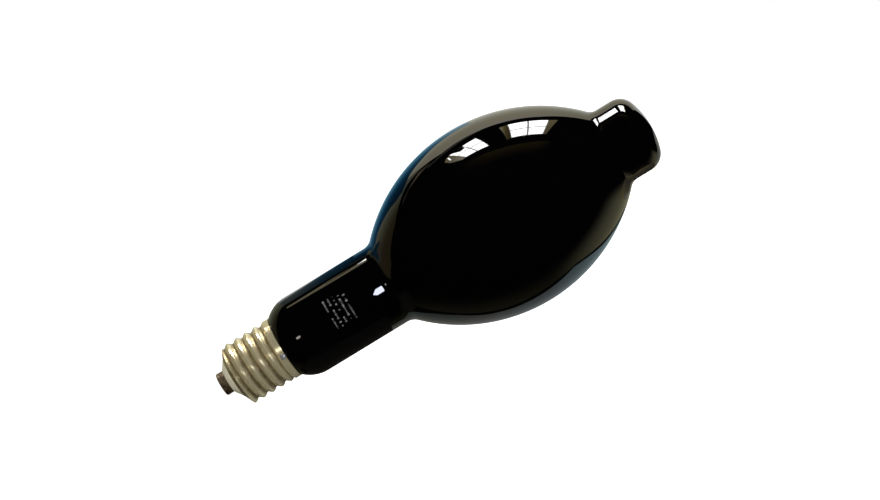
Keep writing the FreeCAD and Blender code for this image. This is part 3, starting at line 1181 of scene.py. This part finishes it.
@dataclass(frozen=True)
class Card:
    """A glowing card that only the lamp's mirrors see.

    Its corners are given in millimetres to the picture's right, to its top and away
    from the camera, from the middle of the lamp. Its colours run evenly from one
    place to another, and its light fades in from the first to the second place of
    each of its fades.
    """

    name: str
    corners: tuple[Place, ...]
    colours: tuple[str, ...]
    strength: float = 1.0
    run: tuple[Place, Place] = ((0, 0, 0), (0, 1, 0))
    fades: tuple[tuple[Place, Place], ...] = ()

    def shape(self, room: "Room") -> bmesh.types.BMesh:
        """The card's one face.

        Args:
            room: The room that the card hangs in.

        Returns:
            The mesh, in metres.
        """
        shape = bmesh.new()
        shape.faces.new([shape.verts.new(room.place(corner)) for corner in self.corners])
        return shape

    def material(self, room: "Room") -> bpy.types.Material:
        """A glow whose colours run along the card.

        Args:
            room: The room that the card hangs in.

        Returns:
            The material.
        """
        material = bpy.data.materials.new(self.name)
        material.use_nodes = True
        tree = material.node_tree
        tree.nodes.clear()
        place = add_node(tree, "ShaderNodeTexCoord").outputs["Object"]

        def share(ends: tuple[Place, Place]) -> bpy.types.NodeSocket:
            """How far along a line a point of the card lies.

            Args:
                ends: The line's two ends.

            Returns:
                0 at the first end and 1 at the second.
            """
            first, last = (room.place(end) for end in ends)
            along = last - first
            offset = add_node(tree, "ShaderNodeVectorMath", {0: place, 1: first}, operation="SUBTRACT")
            inputs = {0: offset.outputs["Vector"], 1: along / along.length_squared}
            return add_node(tree, "ShaderNodeVectorMath", inputs, operation="DOT_PRODUCT").outputs["Value"]

        ramp = add_node(tree, "ShaderNodeValToRGB", {"Fac": share(self.run)})
        stops = ramp.color_ramp.elements
        for _ in self.colours[2:]:
            stops.new(0.5)
        for at in range(len(stops)):
            stops[at].position = at / (len(stops) - 1)
            stops[at].color = linear(self.colours[min(at, len(self.colours) - 1)])
        strength: float | bpy.types.NodeSocket = self.strength
        for ends in self.fades:
            inputs = {"Value": share(ends), "To Max": strength}
            fade = add_node(tree, "ShaderNodeMapRange", inputs, interpolation_type="SMOOTHSTEP")
            strength = fade.outputs["Result"]
        glow = add_node(tree, "ShaderNodeEmission", {"Color": ramp.outputs["Color"], "Strength": strength})
        add_node(tree, "ShaderNodeOutputMaterial", {"Surface": glow.outputs[0]})
        return material

    def hang(self, room: "Room") -> None:
        """Put the card up, out of sight of everything but mirrors.

        Args:
            room: The room that the card hangs in.
        """
        mesh = bpy.data.meshes.new(self.name)
        shape = self.shape(room)
        shape.to_mesh(mesh)
        shape.free()
        mesh.materials.append(self.material(room))
        card = bpy.data.objects.new(self.name, mesh)
        bpy.context.scene.collection.objects.link(card)
        card.visible_camera = card.visible_diffuse = card.visible_shadow = False


@dataclass(frozen=True)
class Window(Card):
    """A card cut into panes, with dimmer bars behind the cuts."""

    columns: int = 2
    rows: int = 2
    bar: float = 0.1
    bar_colour: str = "E8E6E0"
    bar_strength: float = 4.0
    bar_setback: float = 1.01

    def shape(self, room: "Room") -> bmesh.types.BMesh:
        """One face for each pane.

        Args:
            room: The room that the window is in.

        Returns:
            The mesh, in metres.
        """
        shape = bmesh.new()
        first, second, third, fourth = (room.place(corner) for corner in self.corners)
        edge = self.bar / 2
        for column in range(self.columns):
            for row in range(self.rows):
                left, right = (column + edge) / self.columns, (column + 1 - edge) / self.columns
                low, high = (row + edge) / self.rows, (row + 1 - edge) / self.rows
                places = [
                    first.lerp(second, across).lerp(fourth.lerp(third, across), down)
                    for across, down in ((left, low), (right, low), (right, high), (left, high))
                ]
                shape.faces.new([shape.verts.new(place) for place in places])
        return shape

    def hang(self, room: "Room") -> None:
        """Put up the panes, and the bars a little behind them.

        Args:
            room: The room that the window is in.
        """
        super().hang(room)
        behind = tuple(tuple(size * self.bar_setback for size in corner) for corner in self.corners)
        Card(f"{self.name}_bars", behind, (self.bar_colour,), self.bar_strength).hang(room)


def on_plane(away: float, *spots: Point) -> tuple[Place, ...]:
    """Places on one plane of the room, from how far they lie to the right and up."""
    return tuple((right, up, away) for right, up in spots)


# The sheet behind the lamp, its shaded side, its edge and what lies behind it, in millimetres
# away from the lamp's middle
SHEET, SHADED, EDGE, BEHIND = 120, 119, 121, 122
# The cloth beside the belly, the cloth beside the neck, and the folds in front of it
CLOTH, NECK_CLOTH, FOLD = 45, 0, -10
# The lamps in front of the neck and of the cap
NECK_LAMP, CAP_LAMP = -81, -110
# Daylight in the panes, against a white of 1
DAYLIGHT = 26.0

# A sheet lies behind the lamp, lit from above, blue at its left and shaded below
BACKDROP = (
    Card(
        "bright_sheet",
        on_plane(
            SHEET, (130, 20), (160, 85), (172, 115), (196, 165), (235, 240), (250, 285), (159, 308),
            (73, 356), (-23, 352), (-91, 335), (-190, 300), (-182, 215), (-160, 160), (-150, 20),
            (-60, -40), (0, -20),
        ),
        ("C8CCC8", "CAC8B8", "D2CCB0", "ECE2C4", "FFF8E4"),
        strength=1.5,
        run=on_plane(SHEET, (0, 80), (-50, 335)),
    ),
    Card(
        "dim_left_sheet",
        on_plane(
            BEHIND, (-150, -100), (-100, 20), (-150, 165), (-184, 214), (-200, 190), (-214, 170),
            (-262, 170), (-330, 174), (-661, 170), (-1000, 40), (-1800, -500), (-600, -500),
        ),
        ("A8AA92", "8A866A", "75694C"),
        strength=0.9,
        run=on_plane(BEHIND, (-200, 50), (-420, 0)),
    ),
    Card(
        "blue_cloth",
        on_plane(
            CLOTH, (8, 112), (-14, 106), (-35, 101), (-48, 99), (-60, 95), (-74, 93), (-95, 95),
            (-122, 97), (-124, 80), (-108, 60), (-103, 48), (-99, 36), (-97, 26), (-104, 16),
            (-90, 2), (-62, 0), (-28, 25), (-8, 50), (15, 76),
        ),
        ("C8E4F0", "5C9CBC", "1C5D86", "14405C"),
        run=on_plane(CLOTH, (-20, 45), (-80, 82)),
    ),
    Card(
        "blue_cloth_by_the_neck",
        on_plane(
            NECK_CLOTH, (-93, -32), (-98, -18), (-92, -12), (-86, -5), (-80, 2), (-75, 8),
            (-68, 13), (-58, 9), (-46, -3),
        ),
        ("1A4662", "345C74", "7C8884"),
        run=on_plane(NECK_CLOTH, (-54, 8), (-93, -20)),
    ),
    Card(
        "fold_by_the_neck",
        on_plane(FOLD, (-51, 3), (-71, -10), (-74, -6), (-62, 6), (-54, 12)),
        ("7C7462",),
    ),
    Card(
        "nipple_edge",
        on_plane(
            SHEET, (150, 70), (175, 100), (212, 102), (262, 78), (300, 40), (300, 5), (240, 0),
            (185, 15), (160, 40),
        ),
        ("9C9C94",),
    ),
    Card(
        "nipple_side",
        on_plane(
            FOLD, (119, 37), (126, 50), (136, 50), (144, 40), (142, 30), (138, 24), (127, 31)
        ),
        ("34322C", "74705E", "B8A878"),
        run=on_plane(FOLD, (127, 48), (134, 29)),
    ),
    Card(
        "shaded_sheet",
        on_plane(
            SHADED, (128, 30), (150, 5), (166, -15), (184, -42), (204, -72), (224, -103),
            (243, -138), (255, -170), (258, -188), (200, -186), (100, -190), (50, -205),
            (0, -245), (-50, -240), (-75, -190), (-68, -150), (-60, -60), (0, 0),
        ),
        ("68746E", "84857F", "8A9294", "A4BEC4"),
        run=on_plane(SHADED, (-60, -200), (200, -60)),
    ),
    Card(
        "sheet_edge",
        on_plane(
            EDGE, (128, 45), (162, 12), (179, -12), (197, -38), (217, -68), (238, -99),
            (258, -134), (277, -170), (290, -205), (230, -245), (100, -240), (40, -262),
            (0, -285), (-60, -310), (-180, -330), (-120, -220), (-60, -100), (0, -50),
        ),
        ("0C0B06",),
    ),
    Card(
        "shade_under_the_neck",
        ((-78, -87, -20), (-21, -52, -20), (-21, -52, 150), (-78, -87, 150)),
        ("302E28",),
    ),
)

# Two tall windows with pale reveals stand above the lamp, and small lamps shine on its neck and its cap
WINDOWS = (
    Window(
        "right_window",
        ((-488, 2832, 1024), (376, 2869, 1023), (442, 3034, -326), (-434, 3022, -269)),
        ("FFFFFF",),
        DAYLIGHT,
    ),
    Card(
        "right_window_left_reveal",
        ((-662, 2823, 939), (-488, 2832, 1024), (-434, 3022, -269), (-538, 2996, -345)),
        ("E6DAB0", "8C7E50", "5A4E2C"),
        strength=3.0,
        run=((-662, 2823, 400), (-450, 2830, 400)),
    ),
    Card(
        "right_window_right_reveal",
        ((376, 2869, 1023), (562, 2833, 1050), (532, 3021, -333), (442, 3034, -326)),
        ("A89C74",),
        strength=3.0,
    ),
    Window(
        "left_window",
        ((-1812, 2368, 681), (-1175, 2691, 827), (-1002, 2860, -309), (-1602, 2560, -279)),
        ("FFFFFF",),
        DAYLIGHT,
    ),
    Card(
        "dark_leaf",
        ((-1748, 2310, 754), (-1565, 2469, 382), (-1454, 2525, 435), (-1439, 2469, 776)),
        ("141618",),
    ),
    Card(
        "left_window_sill",
        (
            (-1965, 2275, 420), (-1850, 2318, 640), (-1783, 2378, 660), (-1590, 2580, -275),
            (-1700, 2510, -300), (-1915, 2340, 60),
        ),
        ("FFF4D8", "D8CCA8", "C8BC98"),
        strength=2.6,
        run=((-1650, 2500, 100), (-1950, 2290, 300)),
    ),
    Card(
        "glow_below_windows",
        (
            (-1950, 2150, -600), (-1671, 2513, -626), (-715, 2809, -814), (729, 2839, -851),
            (1000, 2620, -1500), (-677, 2513, -1639), (-1626, 2232, -1301), (-1900, 1950, -1100),
        ),
        ("6E6236", "4A4020", "000000"),
        run=((0, 2812, -850), (0, 2600, -1600)),
        fades=(((-1950, 2100, -850), (-700, 2700, -850)), ((1050, 2700, -900), (350, 2750, -900))),
    ),
    Card(
        "ledge",
        (
            (-2065, 1951, 1193), (-1637, 2269, 1219), (-1191, 2476, 1331), (-932, 2558, 1391),
            (-932, 2573, 1361), (-1191, 2498, 1294), (-1637, 2296, 1174), (-2076, 1981, 1144),
        ),
        ("A8A48C",),
        strength=1.2,
    ),
    Card(
        "neck_lamp",
        on_plane(
            NECK_LAMP, (-49, -23), (-44, -20), (-37, -25), (-32, -34), (-34, -38), (-39, -41),
            (-45, -35),
        ),
        ("E8ECFF",),
        strength=26.0,
    ),
    Card(
        "neck_lamp_hood",
        ((-48, 7, -92), (-12, -53, -92), (-12, -53, -55), (-48, 7, -55)),
        ("000000",),
    ),
    Card(
        "cap_lamp",
        on_plane(CAP_LAMP, (-137, -72), (-111, -56), (-105, -66), (-131, -82)),
        ("FFF8F0",),
        strength=7.0,
    ),
    Card(
        "sill_glint",
        ((-1687, 2131, 230), (-1662, 2146, 230), (-1642, 2115, 500), (-1667, 2100, 500)),
        ("FFFFFF",),
        strength=22.0,
    ),
    Card(
        "far_ledge",
        (
            (-1888, 1968, 1330), (-1990, 1818, 1380), (-2072, 1706, 1420), (-2222, 1614, 1302),
            (-2384, 1482, 1168), (-2530, 1329, 1042), (-2700, 1140, 831), (-2642, 1126, 831),
            (-2480, 1311, 1042), (-2340, 1460, 1168), (-2182, 1588, 1302), (-2032, 1690, 1420),
            (-1960, 1790, 1380), (-1868, 1930, 1330),
        ),
        ("B09C7C",),
        strength=1.4,
    ),
)


@dataclass
class Room:
    """The camera, the pale floor and the room that the black glass mirrors.

    Angles are in degrees, and the lens, the size of a pixel on the lamp and the aim
    in millimetres. A fade is where it starts and ends, as the cosine of the angle
    between a mirrored ray and the direction that it is measured from.
    """

    elevation: float = 5.0
    lean: float = 31.38
    lens: float = 200.0
    pixel: float = 0.5964
    frame_width: int = 880
    sensor: float = 36.0
    aim: Point = (2.95, 2.98)
    brown: str = "403E2C"
    pale_brown: str = "B4B08C"
    pale_fade: Point = (0.55, 1.0)
    behind_fade: Point = (-0.02, 0.45)
    left_fade: Point = (-0.7, -0.3)
    above_fade: Point = (0.2, 0.02)
    above_lean: float = 0.3
    window_bearing: Place = (-0.35, 0.75, -0.55)
    daylight: Point = (0.2, 1.5)
    floor_size: float = 30.0
    floor_drop: float = 0.02
    floor_colour: str = "F2F2F0"
    floor_roughness: float = 0.9
    floor_lift: float = 0.8

    def __post_init__(self) -> None:
        """Work out the picture's three directions and the lamp's middle."""
        tilt, roll = math.radians(self.elevation), math.radians(self.lean)
        axis = Vector((0, math.sin(tilt), math.cos(tilt)))
        side = Vector((1, 0, 0))
        self.away = Vector((0, math.cos(tilt), -math.sin(tilt)))
        self.right = axis * math.cos(roll) + side * math.sin(roll)
        self.up = axis * math.sin(roll) - side * math.cos(roll)
        self.middle = Vector((0, 0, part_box("glass_envelope")[1].z / 2))

    def place(self, place: Place) -> Vector:
        """A place in the room in metres, from its millimetres in the picture's directions."""
        right, up, away = place
        return self.middle + (self.right * right + self.up * up + self.away * away) * MM

    def camera(self) -> None:
        """Set up the camera on the photograph's view."""
        data = bpy.data.cameras.new("camera")
        data.lens, data.sensor_width = self.lens, self.sensor
        data.clip_start, data.clip_end = 0.05, 100
        camera = bpy.data.objects.new("camera", data)
        bpy.context.scene.collection.objects.link(camera)
        distance = self.pixel * self.frame_width * self.lens / self.sensor
        turn = Matrix((self.right, self.up, -self.away)).transposed()
        camera.matrix_world = Matrix.Translation(self.place((*self.aim, -distance))) @ turn.to_4x4()
        bpy.context.scene.camera = camera

    def world(self) -> None:
        """White to the camera, plain light on the object, and a dim room in its mirrors.

        The room is black towards the camera and above. It brightens to brown
        behind the lamp, on its left, its right and below.
        """
        world = bpy.data.worlds.new("room")
        bpy.context.scene.world = world
        world.use_nodes = True
        tree = world.node_tree
        tree.nodes.clear()
        view = add_node(tree, "ShaderNodeTexCoord").outputs["Generated"]

        def towards(direction: Vector, ray: bpy.types.NodeSocket = view) -> bpy.types.NodeSocket:
            """The cosine of the angle between a ray and a direction."""
            inputs = {0: ray, 1: direction}
            return add_node(tree, "ShaderNodeVectorMath", inputs, operation="DOT_PRODUCT").outputs["Value"]

        def fade(source: bpy.types.NodeSocket, ends: Point) -> bpy.types.NodeSocket:
            """A smooth step from 0 to 1 between two values of its source."""
            inputs = {"Value": source, "From Min": ends[0], "From Max": ends[1]}
            return add_node(
                tree, "ShaderNodeMapRange", inputs, interpolation_type="SMOOTHSTEP"
            ).outputs["Result"]

        depth = add_node(tree, "ShaderNodeVectorMath", {0: view, 1: self.away}, operation="PROJECT")
        inputs = {0: view, 1: depth.outputs["Vector"]}
        flat = add_node(tree, "ShaderNodeVectorMath", inputs, operation="SUBTRACT")
        inputs = {0: flat.outputs["Vector"]}
        level_view = add_node(tree, "ShaderNodeVectorMath", inputs, operation="NORMALIZE")
        beside = towards(self.right, level_view.outputs["Vector"])
        above = (self.up + self.right * self.above_lean).normalized()
        level = fade(towards(self.away), self.behind_fade)
        for share in (fade(towards(above), self.above_fade), fade(beside, self.left_fade)):
            level = add_node(tree, "ShaderNodeMath", {0: level, 1: share}, operation="MULTIPLY").outputs[0]
        brown = add_node(
            tree,
            "ShaderNodeMix",
            {"Factor": fade(beside, self.pale_fade), 6: linear(self.brown), 7: linear(self.pale_brown)},
            data_type="RGBA",
        )
        inputs = {"Color": brown.outputs[2], "Strength": level}
        room = add_node(tree, "ShaderNodeBackground", inputs)
        right, up, away = self.window_bearing
        window_side = (self.up * up + self.right * right + self.away * away).normalized()
        daylight = add_node(
            tree,
            "ShaderNodeMapRange",
            {
                "Value": towards(window_side),
                "From Min": -1.0,
                "To Min": self.daylight[0],
                "To Max": self.daylight[1],
            },
        )
        light = add_node(
            tree,
            "ShaderNodeBackground",
            {"Color": linear("FFFFFF"), "Strength": daylight.outputs["Result"]},
        )
        white = add_node(tree, "ShaderNodeBackground", {"Color": linear("FFFFFF"), "Strength": 1.0})
        seen = add_node(tree, "ShaderNodeLightPath").outputs
        mirrored = add_node(
            tree,
            "ShaderNodeMixShader",
            {0: seen["Is Glossy Ray"], 1: light.outputs[0], 2: room.outputs[0]},
        )
        straight = add_node(
            tree,
            "ShaderNodeMath",
            {0: seen["Is Camera Ray"], 1: seen["Is Transmission Ray"]},
            operation="MAXIMUM",
        )
        shown = add_node(
            tree,
            "ShaderNodeMixShader",
            {0: straight.outputs[0], 1: mirrored.outputs[0], 2: white.outputs[0]},
        )
        add_node(tree, "ShaderNodeOutputWorld", {"Surface": shown.outputs[0]})

    def floor(self) -> None:
        """Lay the pale floor under the contact."""
        shape = bmesh.new()
        bmesh.ops.create_grid(shape, x_segments=1, y_segments=1, size=self.floor_size)
        bmesh.ops.translate(shape, verts=shape.verts, vec=(0, 0, -self.floor_drop * MM))
        floor = finish_mesh("floor", shape)
        material = bpy.data.materials.new("pale_floor")
        material.use_nodes = True
        tree = material.node_tree
        shader = tree.nodes["Principled BSDF"]
        shader.inputs["Base Color"].default_value = linear(self.floor_colour)
        shader.inputs["Roughness"].default_value = self.floor_roughness
        shader.inputs["Specular IOR Level"].default_value = 0.0
        shader.inputs["Emission Color"].default_value = linear("FFFFFF")
        seen = add_node(tree, "ShaderNodeLightPath").outputs["Is Camera Ray"]
        lift = add_node(tree, "ShaderNodeMath", {0: seen, 1: self.floor_lift}, operation="MULTIPLY")
        tree.links.new(lift.outputs[0], shader.inputs["Emission Strength"])
        floor.data.materials.append(material)
        floor.visible_glossy = False

    def dress(self) -> None:
        """Set up the whole room."""
        self.camera()
        self.world()
        self.floor()
        for card in (*BACKDROP, *WINDOWS):
            card.hang(self)
        LOG.info("room: %d cards", len(BACKDROP) + len(WINDOWS))


def main() -> None:
    """Build the lamp's pieces in order, then the room."""
    logging.basicConfig(level=logging.INFO, format="%(name)s: %(message)s")
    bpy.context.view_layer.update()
    for part in (Bulb(), Stamp(), ScrewShell(), CapEnd(), RimSolder(), HiddenParts(), Room()):
        part.dress()
    scene = bpy.context.scene
    scene.view_settings.view_transform = "Standard"


if __name__ == "__main__":
    main()
